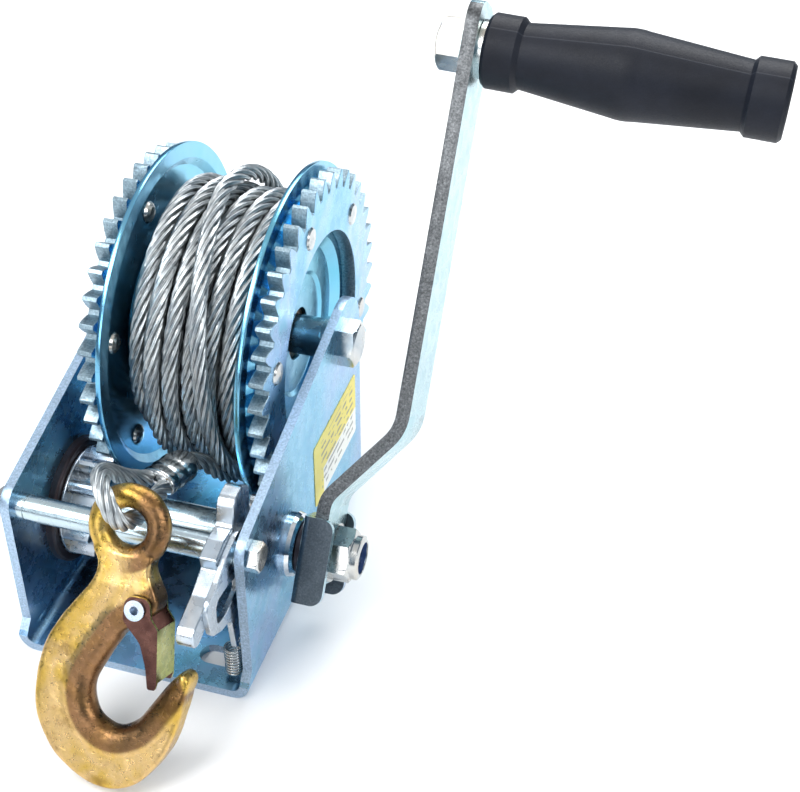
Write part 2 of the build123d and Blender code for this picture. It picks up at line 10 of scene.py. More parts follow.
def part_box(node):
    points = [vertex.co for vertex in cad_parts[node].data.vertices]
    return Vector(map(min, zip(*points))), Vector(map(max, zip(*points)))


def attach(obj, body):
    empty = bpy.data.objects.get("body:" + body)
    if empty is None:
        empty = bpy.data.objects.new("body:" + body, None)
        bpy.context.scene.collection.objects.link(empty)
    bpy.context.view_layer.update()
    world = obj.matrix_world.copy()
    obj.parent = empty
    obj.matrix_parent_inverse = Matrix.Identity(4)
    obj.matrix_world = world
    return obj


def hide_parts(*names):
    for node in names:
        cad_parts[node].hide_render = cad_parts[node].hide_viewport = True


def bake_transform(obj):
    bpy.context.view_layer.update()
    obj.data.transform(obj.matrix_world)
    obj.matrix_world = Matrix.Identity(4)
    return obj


# Boat trailer winch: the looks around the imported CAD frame. Metres, +Z up, +X towards the crank.

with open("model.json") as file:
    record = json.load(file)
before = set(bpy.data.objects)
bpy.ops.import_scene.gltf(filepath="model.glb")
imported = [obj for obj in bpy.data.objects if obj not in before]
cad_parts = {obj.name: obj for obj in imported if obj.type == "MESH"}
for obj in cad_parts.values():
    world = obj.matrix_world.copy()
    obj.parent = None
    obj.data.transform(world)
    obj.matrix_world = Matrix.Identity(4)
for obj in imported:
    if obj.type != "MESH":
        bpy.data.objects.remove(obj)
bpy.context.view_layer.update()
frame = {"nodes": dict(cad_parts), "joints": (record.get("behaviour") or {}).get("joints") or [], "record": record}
nodes = frame["nodes"]
MM = 0.001

# ---- Driving places, read from the frame ----
joint_at = {j["name"]: Vector(j["pos_m"]) for j in frame["joints"]}
drum_axis = joint_at["drum_spin"]
drive_axis = joint_at["drive_spin"]
grip_axis = joint_at["grip_spin"]
grip_line = Vector(next(j["axis"] for j in frame["joints"] if j["name"] == "grip_spin")).normalized()
pawl_axis = joint_at["pawl_swing"]
hook_pivot = joint_at["hook_swing"]
ROPE = 6.35 * MM
CRANK_LEAN = math.radians(54)
HOOK_LEAN = math.radians(30.5)
HOOK_FRONT = Vector((0, -math.cos(HOOK_LEAN), math.sin(HOOK_LEAN)))
HOOK_UP = Vector((0, math.sin(HOOK_LEAN), math.cos(HOOK_LEAN)))
EYE = Vector((10.2, -73.3, 80.6)) * MM


# ---- Camera ----
def make_camera():
    azimuth, elevation, roll = math.radians(17.234), math.radians(38.818), math.radians(-0.179)
    back = Vector((
        math.sin(azimuth) * math.cos(elevation),
        -math.cos(azimuth) * math.cos(elevation),
        math.sin(elevation),
    ))
    data = bpy.data.cameras.new("camera")
    data.sensor_width = 36.0
    data.lens = 68.71
    data.shift_x, data.shift_y = 0.0261, 0.0236
    camera = bpy.data.objects.new("camera", data)
    bpy.context.scene.collection.objects.link(camera)
    camera.rotation_mode = "QUATERNION"
    level = (-back).to_track_quat("-Z", "Y")
    camera.rotation_quaternion = level @ Matrix.Rotation(roll, 4, "Z").to_quaternion()
    camera.location = (0.1980, -0.4016, 0.4244)
    bpy.context.scene.camera = camera


make_camera()


# ---- Small tools ----
def add_object(name, mesh, smooth=True):
    piece = bpy.data.objects.new(name, mesh)
    bpy.context.scene.collection.objects.link(piece)
    if smooth and isinstance(mesh, bpy.types.Mesh):
        mesh.polygons.foreach_set("use_smooth", [True] * len(mesh.polygons))
    return piece


def route_line(points, resolution=16):
    """The smooth line of a NURBS spline through control points in metres, as an array."""
    curve = bpy.data.curves.new("route", "CURVE")
    curve.dimensions = "3D"
    curve.resolution_u = resolution
    spline = curve.splines.new("NURBS")
    spline.points.add(len(points) - 1)
    for point, place in zip(spline.points, points):
        point.co = (*place, 1.0)
    spline.order_u = 3
    spline.use_endpoint_u = True
    holder = bpy.data.objects.new("route", curve)
    mesh = bpy.data.meshes.new_from_object(holder)
    line = np.array([v.co for v in mesh.vertices])
    bpy.data.meshes.remove(mesh)
    bpy.data.objects.remove(holder)
    bpy.data.curves.remove(curve)
    return line


def evenly(line, step):
    """The same line with points about step apart."""
    along = np.concatenate([[0], np.cumsum(np.linalg.norm(np.diff(line, axis=0), axis=1))])
    at = np.linspace(0, along[-1], max(3, round(along[-1] / step)))
    return np.stack([np.interp(at, along, line[:, k]) for k in range(3)], axis=1)


def frames_along(line, first_side):
    """Tangent, side and up vectors that turn as little as possible along the line."""
    tangent = np.gradient(line, axis=0)
    tangent /= np.linalg.norm(tangent, axis=1)[:, None]
    side = np.zeros_like(line)
    current = np.array(first_side, float)
    for i, t in enumerate(tangent):
        current = current - t * (current @ t)
        current /= np.linalg.norm(current)
        side[i] = current
    return tangent, side, np.cross(tangent, side)


STRANDS = 6
LAY = 6.4 * ROPE


def rope_mesh(name, line, points_per_strand=8, first_side=(1, 0, 0), twist_start=0.0):
    """Six strands laid round each other: a lobed tube that twists along its line. UV is millimetres along, strand round."""
    tangent, side, up = frames_along(line, first_side)
    along = np.concatenate([[0], np.cumsum(np.linalg.norm(np.diff(line, axis=0), axis=1))])
    count = STRANDS * points_per_strand
    strand_radius = ROPE / 6
    centre_radius = ROPE / 2 - strand_radius
    angle = np.arange(count) / count * 2 * np.pi
    off_centre = (angle * STRANDS / (2 * np.pi) % 1 - 0.5) * 2 * np.pi / STRANDS
    reach = centre_radius * np.cos(off_centre) + np.sqrt(
        np.maximum(strand_radius ** 2 - (centre_radius * np.sin(off_centre)) ** 2, 0)
    )
    turned = angle[None, :] + twist_start + (along / LAY * 2 * np.pi)[:, None]
    rings = line[:, None, :] + reach[None, :, None] * (
        np.cos(turned)[..., None] * side[:, None, :] + np.sin(turned)[..., None] * up[:, None, :]
    )
    vertices = rings.reshape(-1, 3)
    row, column = np.meshgrid(np.arange(len(line) - 1), np.arange(count), indexing="ij")
    after = (column + 1) % count
    quads = np.stack(
        [row * count + column, row * count + after, (row + 1) * count + after, (row + 1) * count + column], axis=-1
    ).reshape(-1, 4)
    ends = [list(range(count))[::-1], [len(vertices) - count + k for k in range(count)]]
    mesh = bpy.data.meshes.new(name)
    mesh.from_pydata(vertices.tolist(), [], quads.tolist() + ends)
    uv = mesh.uv_layers.new(name="UVMap")
    u = np.stack([along[row], along[row], along[row + 1], along[row + 1]], axis=-1).reshape(-1)
    v = np.stack([column, column + 1, column + 1, column], axis=-1).reshape(-1) / points_per_strand
    flat = np.zeros((len(mesh.loops), 2), np.float32)
    flat[: len(u), 0] = u / MM
    flat[: len(v), 1] = v
    uv.data.foreach_set("uv", flat.ravel())
    mesh.update()
    return mesh


# ---- Materials ----
class Finish:
    """A node material and the few node-building steps that every finish shares."""

    def __init__(self, name, metallic=0.0, roughness=0.5):
        self.material = bpy.data.materials.new(name)
        self.material.use_nodes = True
        self.tree = self.material.node_tree
        self.shader = self.tree.nodes["Principled BSDF"]
        self.shader.inputs["Metallic"].default_value = metallic
        self.shader.inputs["Roughness"].default_value = roughness
        self.place = self.tree.nodes.new("ShaderNodeTexCoord")
        self.height = None

    def node(self, kind, **settings):
        made = self.tree.nodes.new(kind)
        for key, value in settings.items():
            setattr(made, key, value)
        return made

    def link(self, source, target):
        self.tree.links.new(source, target)
        return source

    def stretched(self, scale, output="Object"):
        mapping = self.node("ShaderNodeMapping")
        mapping.inputs["Scale"].default_value = scale
        self.link(self.place.outputs[output], mapping.inputs["Vector"])
        return mapping.outputs["Vector"]

    def noise(self, scale, detail=4.0, roughness=0.55, vector=None, distortion=0.0):
        made = self.node("ShaderNodeTexNoise")
        made.inputs["Scale"].default_value = scale
        made.inputs["Detail"].default_value = detail
        made.inputs["Roughness"].default_value = roughness
        made.inputs["Distortion"].default_value = distortion
        self.link(vector or self.place.outputs["Object"], made.inputs["Vector"])
        return made.outputs["Fac"]

    def ramp(self, source, *stops):
        made = self.node("ShaderNodeValToRGB")
        elements = made.color_ramp.elements
        while len(elements) < len(stops):
            elements.new(0.5)
        for element, (place, colour) in zip(elements, stops):
            element.position = place
            element.color = (*colour, 1.0) if len(colour) == 3 else colour
        self.link(source, made.inputs["Fac"])
        return made.outputs["Color"]

    def math(self, operation, a, b=None, clamp=False):
        made = self.node("ShaderNodeMath", operation=operation, use_clamp=clamp)
        for socket, value in zip(made.inputs, (a, b)):
            if value is None:
                continue
            if isinstance(value, (int, float)):
                socket.default_value = value
            else:
                self.link(value, socket)
        return made.outputs["Value"]

    def remap(self, source, low, high, out_low, out_high):
        made = self.node("ShaderNodeMapRange")
        for key, value in zip(("From Min", "From Max", "To Min", "To Max"), (low, high, out_low, out_high)):
            made.inputs[key].default_value = value
        self.link(source, made.inputs["Value"])
        return made.outputs["Result"]

    def mix(self, factor, a, b, blend="MIX"):
        made = self.node("ShaderNodeMix", data_type="RGBA", blend_type=blend)
        if isinstance(factor, (int, float)):
            made.inputs["Factor"].default_value = factor
        else:
            self.link(factor, made.inputs["Factor"])
        for socket, value in ((made.inputs["A"], a), (made.inputs["B"], b)):
            if isinstance(value, tuple):
                socket.default_value = (*value, 1.0)
            else:
                self.link(value, socket)
        return made.outputs["Result"]

    def axis(self, output, name):
        made = self.node("ShaderNodeSeparateXYZ")
        self.link(self.place.outputs[output], made.inputs["Vector"])
        return made.outputs[name]

    def facing(self, direction):
        """How far the surface's own normal lies along a direction, either way, from 0 to 1."""
        return self.math("ABSOLUTE", self.towards(direction))

    def towards(self, direction):
        """How far the surface's own normal points in a direction, from -1 to 1."""
        made = self.node("ShaderNodeVectorMath", operation="DOT_PRODUCT")
        self.link(self.place.outputs["Normal"], made.inputs[0])
        made.inputs[1].default_value = direction
        return made.outputs["Value"]

    def colour(self, source):
        if isinstance(source, tuple):
            self.shader.inputs["Base Color"].default_value = (*source, 1.0)
        else:
            self.link(source, self.shader.inputs["Base Color"])

    def roughness(self, source):
        self.link(source, self.shader.inputs["Roughness"])

    def bump(self, source, strength, distance):
        made = self.node("ShaderNodeBump")
        made.inputs["Strength"].default_value = strength
        made.inputs["Distance"].default_value = distance
        self.link(source, made.inputs["Height"])
        if self.height is not None:
            self.link(self.height, made.inputs["Normal"])
        self.height = made.outputs["Normal"]
        self.link(self.height, self.shader.inputs["Normal"])


def plated(name, tints, patch=16.0, rough=(0.2, 0.36), edge=None, edge_tint=(0.3, 0.33, 0.36), torn_range=(0.45, 1.7)):
    """Zinc plate over steel: slow colour drift, fine rolled grain, and dull torn metal on sheared edges."""
    finish = Finish(name, metallic=1.0)
    drift = finish.noise(patch, 3.0, 0.6, distortion=0.6)
    steps = [(0.28 + 0.44 * k / (len(tints) - 1), tint) for k, tint in enumerate(tints)]
    colour = finish.ramp(drift, *steps)
    cloud = finish.noise(230.0, 5.0, 0.6)
    colour = finish.mix(finish.remap(cloud, 0.35, 0.75, 0.0, 0.08), colour, tints[0])
    gloss = finish.remap(finish.noise(180.0, 3.0, 0.5), 0.3, 0.7, *rough)
    if edge is not None:
        torn = finish.noise(1300.0, 4.0, 0.7)
        dark, pale = (tuple(share * c for c in edge_tint) for share in torn_range)
        dull = finish.ramp(torn, (0.35, dark), (0.55, edge_tint), (0.72, pale))
        colour = finish.mix(edge(finish), colour, dull)
        lift = finish.math("MULTIPLY", edge(finish), 0.16)
        gloss = finish.math("ADD", gloss, lift)
        finish.bump(finish.math("MULTIPLY", torn, edge(finish)), 0.35, 0.0002)
    finish.colour(colour)
    finish.roughness(gloss)
    finish.bump(finish.noise(700.0, 3.0, 0.5), 0.03, 0.0002)
    return finish.material


def sheet_edges(finish):
    """On the folded frame: the cut rims of the side plates and of the base."""
    above = finish.math("GREATER_THAN", finish.axis("Object", "Z"), 8 * MM)
    across = finish.math("LESS_THAN", finish.facing((1, 0, 0)), 0.35)
    ends = finish.math("GREATER_THAN", finish.facing((0, 1, 0)), 0.8)
    return finish.math("MAXIMUM", finish.math("MULTIPLY", above, across), ends)


def rim_edges(finish):
    """On a stamped part that lies across X: everything that doesn't face along X."""
    return finish.math("LESS_THAN", finish.facing((1, 0, 0)), 0.45)


def bar_edges(finish):
    """On the crank: its two sheared long edges."""
    return finish.math("GREATER_THAN", finish.facing((0, -math.sin(CRANK_LEAN), math.cos(CRANK_LEAN))), 0.6)


def front_flange(finish):
    """On the crank's bracket: the outer face of its front flange, and the front of its web."""
    return finish.math("GREATER_THAN", finish.towards((0, -math.sin(CRANK_LEAN), math.cos(CRANK_LEAN))), 0.5)


BLUES = [(0.10, 0.32, 0.54), (0.20, 0.48, 0.66), (0.34, 0.50, 0.72), (0.14, 0.48, 0.62)]
PALES = [(0.30, 0.46, 0.52), (0.40, 0.58, 0.62), (0.40, 0.49, 0.64)]
SILVERS = [(0.40, 0.50, 0.56), (0.50, 0.60, 0.64), (0.44, 0.54, 0.62)]


def rope_finish():
    """Galvanised wire: fine wires along each strand, painted shade in the troughs between the wires, and painted shade
    between the strands, darkened almost to black.
    """
    finish = Finish("galvanised_rope", metallic=1.0)
    u, v = finish.axis("UV", "X"), finish.axis("UV", "Y")
    within = finish.math("SUBTRACT", finish.math("FRACT", v), 0.5)
    valley = finish.math("ABSOLUTE", within)
    slant = finish.math("ADD", finish.math("MULTIPLY", v, 3.0), finish.math("MULTIPLY", u, 0.12))
    wires = finish.math("SINE", finish.math("MULTIPLY", slant, 2 * math.pi))
    soot = finish.noise(170.0, 5.0, 0.65)
    metal = finish.ramp(soot, (0.3, (0.34, 0.37, 0.39)), (0.5, (0.50, 0.53, 0.54)), (0.7, (0.62, 0.64, 0.63)))
    # Painted shade: the troughs between the fine wires are darkened.
    wire_gap_shade = finish.remap(wires, -1.0, -0.3, 0.34, 0.0)
    metal = finish.mix(wire_gap_shade, metal, (0.12, 0.12, 0.13))
    # Painted shade: the valleys between the strands are darkened almost to black.
    metal = finish.mix(finish.remap(valley, 0.38, 0.5, 0.0, 0.85), metal, (0.03, 0.03, 0.035))
    finish.colour(metal)
    finish.roughness(finish.remap(soot, 0.3, 0.7, 0.34, 0.50))
    finish.bump(wires, 0.45, 0.00018)
    return finish.material


def passivate(finish, base, shade, glow):
    """Yellow passivate: gold that drifts to olive, brown and pink, with a scatter of dark stains."""
    drift = finish.noise(30.0, 4.0, 0.6, distortion=0.8)
    colour = finish.ramp(drift, (0.30, shade), (0.42, base), (0.56, glow), (0.70, base))
    stain = finish.noise(85.0, 6.0, 0.7)
    return finish.mix(finish.remap(stain, 0.55, 0.70, 0.0, 0.7), colour, shade)


def hook_finish():
    """Passivate over a forging's rough skin, with a painted dark brown reflection along the rolled throat band and
    inside the eye.
    """
    finish = Finish("yellow_zinc_hook", metallic=1.0)
    colour = passivate(finish, (0.56, 0.36, 0.07), (0.22, 0.12, 0.04), (0.62, 0.42, 0.19))
    # Painted reflection: the band attribute turns the rolled throat and the eye's inner side dark brown.
    band = finish.node("ShaderNodeAttribute", attribute_name="band").outputs["Fac"]
    brown = finish.ramp(finish.noise(60.0), (0.35, (0.07, 0.028, 0.016)), (0.65, (0.24, 0.115, 0.06)))
    colour = finish.mix(finish.math("MULTIPLY", band, 0.85), colour, brown)
    pit = finish.noise(560.0, 5.0, 0.65)
    finish.colour(finish.mix(finish.remap(pit, 0.58, 0.78, 0.0, 0.35), colour, (0.10, 0.05, 0.03)))
    finish.roughness(finish.remap(pit, 0.3, 0.7, 0.22, 0.38))
    finish.bump(pit, 0.45, 0.0005)
    finish.bump(finish.noise(150.0, 3.0, 0.5), 0.3, 0.0010)
    return finish.material


def latch_finish():
    """Passivate on sheet: brown on the cheeks, yellow-green on the web between them."""
    finish = Finish("yellow_zinc_latch", metallic=1.0)
    web = passivate(finish, (0.44, 0.46, 0.12), (0.24, 0.30, 0.12), (0.60, 0.56, 0.24))
    cheek = finish.math("GREATER_THAN", finish.facing(HOOK_FRONT), 0.7)
    brown = finish.ramp(finish.noise(140.0), (0.35, (0.06, 0.028, 0.024)), (0.65, (0.12, 0.058, 0.046)))
    finish.colour(finish.mix(cheek, web, brown))
    finish.roughness(finish.remap(finish.noise(500.0), 0.3, 0.7, 0.22, 0.36))
    finish.bump(finish.noise(260.0, 3.0, 0.5), 0.1, 0.0004)
    return finish.material


def grip_finish():
    """Moulded black plastic with a fine leather-like texture and a faint mould seam along it."""
    finish = Finish("black_plastic", roughness=0.5)
    fine = finish.noise(1700.0, 4.0, 0.65)
    made = finish.node("ShaderNodeVectorMath", operation="DOT_PRODUCT")
    across = grip_line.cross(Vector((0, -0.485, 0.875))).normalized()
    finish.link(finish.place.outputs["Object"], made.inputs[0])
    made.inputs[1].default_value = across
    away = finish.math("ABSOLUTE", finish.math("SUBTRACT", made.outputs["Value"], across.dot(grip_axis)))
    seam = finish.remap(away, 0.0, 0.0004, 1.0, 0.0)
    tone = finish.ramp(finish.noise(60.0, 3.0), (0.3, (0.004, 0.005, 0.009)), (0.7, (0.008, 0.010, 0.017)))
    finish.colour(finish.mix(finish.math("MULTIPLY", seam, 0.5), tone, (0.030, 0.034, 0.045)))
    finish.roughness(finish.remap(fine, 0.3, 0.7, 0.42, 0.60))
    finish.shader.inputs["Specular IOR Level"].default_value = 0.22
    finish.bump(finish.math("ADD", fine, finish.math("MULTIPLY", seam, 0.6)), 0.3, 0.0003)
    return finish.material


def label_finish(low, high):
    """A printed film: yellow above, white in the lower corner, with plain bars where print would be."""
    finish = Finish("label_film", roughness=0.38)
    y = finish.remap(finish.axis("Object", "Y"), low.y, high.y, 0.0, 1.0)
    z = finish.remap(finish.axis("Object", "Z"), low.z, high.z, 0.0, 1.0)
    corner = finish.math("MULTIPLY", finish.math("LESS_THAN", z, 0.42), finish.math("GREATER_THAN", y, 0.2))
    colour = finish.mix(corner, (0.86, 0.72, 0.12), (0.86, 0.86, 0.80))
    rows = finish.math("LESS_THAN", finish.math("FRACT", finish.math("MULTIPLY", z, 9.0)), 0.42)
    words = finish.noise(1.0, 0.0, vector=finish.stretched((1.0, 260.0, 305.0)))
    bars = finish.math("MULTIPLY", rows, finish.math("GREATER_THAN", words, 0.46))
    inset = finish.math("MULTIPLY", finish.math("GREATER_THAN", y, 0.16), finish.math("LESS_THAN", y, 0.93))
    inside = finish.math("MULTIPLY", finish.math("GREATER_THAN", z, 0.1), finish.math("LESS_THAN", z, 0.9))
    bars = finish.math("MULTIPLY", bars, finish.math("MULTIPLY", inset, inside))
    finish.colour(finish.mix(finish.math("MULTIPLY", bars, 0.75), colour, (0.20, 0.19, 0.16)))
    finish.roughness(finish.remap(finish.noise(300.0), 0.3, 0.7, 0.3, 0.45))
    return finish.material


def plain(name, colour, metallic, rough, speckle=500.0, bump=0.1):
    """A single-coloured finish with fine mottling in colour, gloss and surface."""
    finish = Finish(name, metallic=metallic)
    mottle = finish.noise(speckle, 4.0, 0.6)
    dark = tuple(0.72 * c for c in colour)
    finish.colour(finish.ramp(mottle, (0.3, dark), (0.65, colour)))
    finish.roughness(finish.remap(mottle, 0.3, 0.7, *rough))
    finish.bump(mottle, bump, 0.0002)
    return finish.material


zinc_sheet = plated(
    "blue_zinc_sheet", BLUES, patch=11.0, edge=sheet_edges, edge_tint=(0.38, 0.50, 0.64), torn_range=(0.7, 1.35)
)
zinc_gear = plated(
    "blue_zinc_gear", BLUES, patch=20.0, edge=rim_edges, edge_tint=(0.30, 0.40, 0.46), torn_range=(0.6, 1.4)
)
zinc_flange = plated("blue_zinc_flange", [BLUES[0], BLUES[1], BLUES[3]], patch=14.0, rough=(0.16, 0.28))
zinc_pale = plated("pale_zinc_crank", PALES, patch=12.0, edge=bar_edges, edge_tint=(0.10, 0.105, 0.11))
zinc_bracket = plated(
    "pale_zinc_bracket", PALES, patch=24.0, edge=front_flange, edge_tint=(0.07, 0.085, 0.10), torn_range=(0.75, 1.3)
)
zinc_pawl = plated("pale_zinc_pawl", [(0.42, 0.50, 0.58), (0.52, 0.55, 0.58), (0.34, 0.46, 0.62)], patch=24.0)
zinc_turned = plated("bright_zinc_turned", SILVERS, patch=20.0, rough=(0.20, 0.32))
fastener = plated(
    "bright_zinc_fastener", [(0.36, 0.42, 0.46), (0.54, 0.55, 0.54), (0.50, 0.45, 0.38)], patch=60.0, rough=(0.18, 0.3)
)
chrome = plain("chrome", (0.66, 0.70, 0.74), 1.0, (0.05, 0.1), bump=0.02)
dark_steel = plain("dark_steel", (0.045, 0.032, 0.036), 0.6, (0.28, 0.45))
nylon = plain("blue_nylon", (0.02, 0.05, 0.16), 0.0, (0.3, 0.4))
bronze = plain("sintered_bronze", (0.20, 0.15, 0.10), 1.0, (0.35, 0.5))
galvanised = rope_finish()
crimped = plain("crimped_steel", (0.44, 0.46, 0.47), 1.0, (0.12, 0.24), speckle=260.0)
hook_gold = hook_finish()
latch_gold = latch_finish()
black_plastic = grip_finish()
label_film = label_finish(*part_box("label"))

finish_of_slot = {
    "zinc_sheet": zinc_sheet,
    "zinc_turned": zinc_turned,
    "zinc_gear": zinc_gear,
    "zinc_crank": zinc_pale,
    "fastener": fastener,
    "chrome_cap": chrome,
    "dark_steel": dark_steel,
    "nylon_blue": nylon,
    "rope_steel": galvanised,
    "ferrule_steel": crimped,
    "hook_zinc": hook_gold,
    "latch_zinc": latch_gold,
    "grip_plastic": black_plastic,
    "label_film": label_film,
    "bronze": bronze,
}
finish_of_node = {
    "latch_rivet": zinc_pawl,
    "drum_flange_left": zinc_flange,
    "drum_flange_right": zinc_flange,
    "crank_bracket": zinc_bracket,
    "pawl": zinc_pawl,
    "pawl_lever": zinc_pawl,
    "pinion_left": zinc_pawl,
    "pinion_right": zinc_pawl,
}
for row in frame["record"]["subparts"]:
    node = nodes[row["node"]]
    node.data.materials.clear()
    node.data.materials.append(finish_of_node.get(row["node"], finish_of_slot[row["material_slot"]]))


def soften(node, width, segments=2):
    """Rounds a CAD node's sharp edges a little, so that they catch the light."""
    weld = node.modifiers.new("weld", "WELD")
    weld.merge_threshold = 1e-6
    bevel = node.modifiers.new("bevel", "BEVEL")
    bevel.width = width
    bevel.segments = segments
    bevel.limit_method = "ANGLE"
    bevel.angle_limit = math.radians(40)
    bevel.harden_normals = False


for name, width in {
    "frame": 0.35,
    "drum_gear_left": 0.25,
    "drum_gear_right": 0.25,
    "drum_flange_left": 0.3,
    "drum_flange_right": 0.3,
    "pinion_left": 0.2,
    "pinion_right": 0.2,
    "crank_arm": 0.4,
    "crank_bracket": 0.4,
    "crank_nut": 0.25,
    "axle_bolt": 0.25,
    "axle_nut": 0.25,
    "pawl_rod_bolt": 0.2,
    "grip_bolt": 0.3,
    "pawl_lever": 0.25,
    "latch": 0.2,
    "rope_anchor": 0.5,
}.items():
    soften(nodes[name], width * MM)


# ---- Rope: the winding, the tail, the ferrule and the loop through the hook's eye ----
tail_route = [
    (13.6, 20.0, 27.9),
    (12.5, 4.6, 38.2),
    (11.2, -5.6, 48.6),
    (9.2, -13.0, 60.0),
    (7.4, -21.0, 65.6),
]
loop_route = [
    (-0.5, -38.0, 69.2),
    (-3.2, -47.0, 76.0),
    (-4.0, -58.0, 88.5),
    (-0.8, -70.0, 98.2),
    (6.5, -80.5, 97.2),
    (10.4, -81.0, 87.6),
    (10.4, -66.5, 79.2),
    (8.6, -54.0, 74.8),
    (6.3, -38.0, 67.4),
]


def metres(points):
    return [tuple(c * MM for c in p) for p in points]


def make_rope(name, route, body, node):
    line = evenly(route_line(metres(route)), 1.2 * MM)
    piece = add_object(name, rope_mesh(name, line, points_per_strand=10))
    piece.data.materials.append(galvanised)
    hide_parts(node)
    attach(piece, body)
    return piece


WINDING_LAYERS = 6
WINDING_TURNS = 5.5
WINDING_SEED = 7
FIRST_LAYER = 23.4 * MM
LAYER_STEP = 5.45 * MM
WINDING_REACH = 20.0 * MM
CLIMB = 0.3
OVER_TURNS = 1.35
OVER_SHARES = (0.0, 0.26, 0.42, 0.58, 0.8, 1.0)
OVER_PLACES = (20.0, 17.0, 9.0, -1.0, 3.0, 11.8)


def winding_line():
    """The rope's whole path round the hub, from its inner end to where the tail leaves the drum."""
    noise.seed_set(WINDING_SEED)
    middle = (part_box("rope_winding")[0].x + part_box("rope_winding")[1].x) / 2
    leave = Vector(metres(tail_route)[0])
    end_angle = math.atan2(leave.z - drum_axis.z, leave.y - drum_axis.y)
    end_radius = math.hypot(leave.z - drum_axis.z, leave.y - drum_axis.y)
    full = WINDING_LAYERS * WINDING_TURNS
    total = full + OVER_TURNS
    line = []
    for i in range(round(total * 120) + 1):
        turn = i / 120
        layer = min(int(turn // WINDING_TURNS), WINDING_LAYERS)
        share = turn / WINDING_TURNS - layer
        x = (-1 if layer % 2 == 0 else 1) * WINDING_REACH * (2 * share - 1)
        climbed = 1.0 if layer == 0 else min(share * WINDING_TURNS / CLIMB, 1.0)
        radius = FIRST_LAYER + LAYER_STEP * (layer - 1 + climbed)
        loose = noise.noise_vector(Vector((turn * 1.1, layer * 3.7, 0.4)))
        if layer == WINDING_LAYERS - 1:
            bulge = max(0.0, 1 - abs(x + 11 * MM) / (14 * MM))
            radius += 1.0 * MM * loose.x + 2.0 * MM * bulge
            x += 1.1 * MM * loose.y
        if layer == WINDING_LAYERS:
            over = (turn - full) / OVER_TURNS
            x = np.interp(over, OVER_SHARES, OVER_PLACES) * MM
            proud = 5.8 + 2.4 * math.exp(-(((over - 0.58) / 0.1) ** 2))
            radius = FIRST_LAYER + LAYER_STEP * (WINDING_LAYERS - 1) + min(over / 0.12, 1.0) * proud * MM
            radius += (end_radius - radius) * max(0.0, (over - 0.8) / 0.2)
        angle = end_angle + 2 * math.pi * (total - turn)
        line.append((
            middle + x,
            drum_axis.y + radius * math.cos(angle),
            drum_axis.z + radius * math.sin(angle),
        ))
    return np.array(line)


def make_winding():
    line = winding_line()
    line = evenly(line, 2.6 * MM)
    piece = add_object("rope_turns", rope_mesh("rope_turns", line, points_per_strand=6))
    piece.data.materials.append(galvanised)
    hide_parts("rope_winding")
    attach(piece, "drum")
    return piece


def make_ferrule():
    """A pressed sleeve: round at the rear, flared to an oval over the two ropes, with two shallow dents."""
    rear, front = Vector(metres([(7.4, -21.0, 65.6)])[0]), Vector(metres([(3.0, -38.0, 68.2)])[0])
    axis = (front - rear).normalized()
    side = (Vector((1, -0.26, 0)) - axis * Vector((1, -0.26, 0)).dot(axis)).normalized()
    up = axis.cross(side)
    length = (front - rear).length
    rings, around = 40, 48
    vertices = []
    for i in range(rings + 1):
        t = i / rings
        grow = min(t / 0.3, 1.0)
        grow = grow * grow * (3 - 2 * grow)
        wide, high = (5.6 + 2.0 * grow) * MM, (4.6 + 0.4 * grow) * MM
        crimp = sum(math.exp(-((t - c) / 0.07) ** 2) for c in (0.48, 0.76))
        lip = 0.35 * MM * (math.exp(-(t / 0.03) ** 2) + math.exp(-((1 - t) / 0.03) ** 2))
        wide, high = wide - 0.2 * MM * crimp - lip, high - 0.35 * MM * crimp - lip
        for k in range(around):
            a = 2 * math.pi * k / around
            vertices.append(rear + axis * length * t + side * wide * math.cos(a) + up * high * math.sin(a))
    faces = [
        (i * around + k, i * around + (k + 1) % around, (i + 1) * around + (k + 1) % around, (i + 1) * around + k)
        for i in range(rings)
        for k in range(around)
    ]
    faces += [tuple(range(around))[::-1], tuple(rings * around + k for k in range(around))]
    mesh = bpy.data.meshes.new("ferrule")
    mesh.from_pydata(vertices, [], faces)
    piece = add_object("ferrule", mesh)
    piece.data.materials.append(crimped)
    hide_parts("rope_ferrule")
    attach(piece, "base")
    return piece


ferrule = make_ferrule()
make_winding()
make_rope("rope_lead", tail_route, "base", "rope_tail")


# ---- Hook: the forged body, smoothed from its CAD solid ----
throat_line = [
    (26.2, -44.3),
    (22.4, -47.4),
    (17.0, -55.8),
    (11.6, -64.2),
    (4.8, -68.0),
    (-1.2, -66.0),
    (-4.6, -60.4),
    (-4.8, -54.0),
    (-2.0, -47.0),
    (1.8, -39.5),
    (5.6, -33.4),
    (10.4, -29.8),
    (14.0, -26.4),
]
HALF_HOOK = 5.5 * MM
ROLL = 6.0 * MM


def smooth_step(value):
    value = np.clip(value, 0, 1)
    return value * value * (3 - 2 * value)


def through(points, steps=16):
    """A smooth line that passes through every point."""
    p = np.array(points, float)
    p = np.vstack([2 * p[0] - p[1], p, 2 * p[-1] - p[-2]])
    line = []
    for a, b, c, d in zip(p, p[1:], p[2:], p[3:]):
        for t in np.arange(steps) / steps:
            line.append(0.5 * (2 * b + (c - a) * t + (2 * a - 5 * b + 4 * c - d) * t**2 + (3 * b - a - 3 * c + d) * t**3))
    return np.array(line + [p[-2]])


